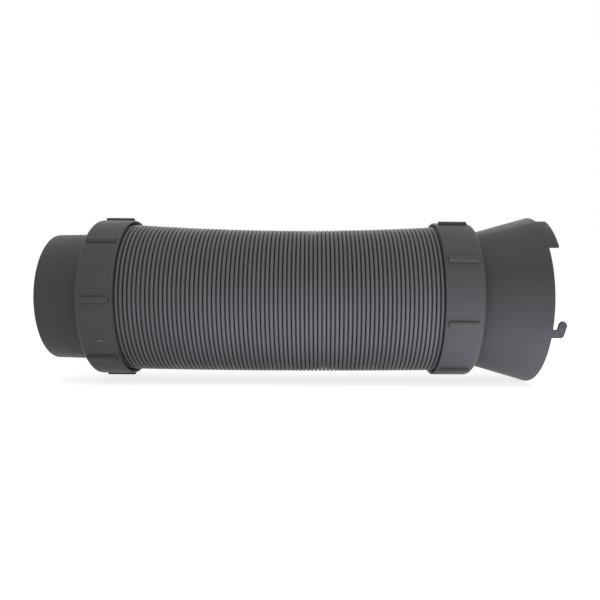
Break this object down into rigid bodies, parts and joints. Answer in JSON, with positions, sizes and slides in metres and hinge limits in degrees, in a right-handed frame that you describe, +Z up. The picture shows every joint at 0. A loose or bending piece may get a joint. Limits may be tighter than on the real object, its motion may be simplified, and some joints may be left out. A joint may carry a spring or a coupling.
{
  "type": "flexible duct hose with end adapters",
  "caption": "Large-bore ribbed flexible duct hose, pushed together, with screw-on grip collars, a round spigot adapter and a flared bayonet adapter.",
  "frame": {"origin": "below the middle of the assembly, at the height of the lowest point of the flared rim", "axes": "+X along the hose's axis towards the flared adapter, +Z up, -Y towards the camera"},
  "size_m": [0.502, 0.1724, 0.1724],
  "materials": {
    "hose_plastic": "extruded polypropylene, satin, dark grey",
    "collar_plastic": "moulded, satin, dark grey",
    "spigot_plastic": "moulded, satin, dark grey",
    "flare_plastic": "moulded, satin, dark grey",
    "seal_rubber": "matt black"
  },
  "bodies": {
    "left_end": {"hose_left_end": "hose_plastic", "left_collar": "collar_plastic", "left_seal": "seal_rubber"},
    "spigot": {"spigot_adapter": "spigot_plastic"},
    "left_middle": {"hose_left_middle": "hose_plastic"},
    "right_middle": {"hose_right_middle": "hose_plastic"},
    "right_end": {"hose_right_end": "hose_plastic", "right_collar": "collar_plastic", "right_seal": "seal_rubber"},
    "flare": {"flared_adapter": "flare_plastic"}
  },
  "joints": [
    {"name": "hose_stretch", "type": "slide", "parent": "left_end", "child": "left_middle", "axis": [1, 0, 0], "range_m": [0, 0.36]},
    {"name": "hose_bend", "type": "hinge", "parent": "left_middle", "child": "right_middle", "pos_m": [-0.016, 0.0745, 0.0862], "axis": [0, 0, 1], "range_deg": [0, 45]},
    {"name": "hose_stretch_right", "type": "slide", "parent": "right_middle", "child": "right_end", "axis": [1, 0, 0], "range_m": [0, 0.36]},
    {"name": "spigot_swivel", "type": "hinge", "parent": "left_end", "child": "spigot", "pos_m": [-0.2, 0, 0.0862], "axis": [1, 0, 0], "continuous": true},
    {"name": "flare_swivel", "type": "hinge", "parent": "right_end", "child": "flare", "pos_m": [0.18, 0, 0.0862], "axis": [1, 0, 0], "continuous": true}
  ],
  "couplings": [
    {"joint": "hose_stretch_right", "follows": "hose_stretch", "ratio": 1}
  ]
}
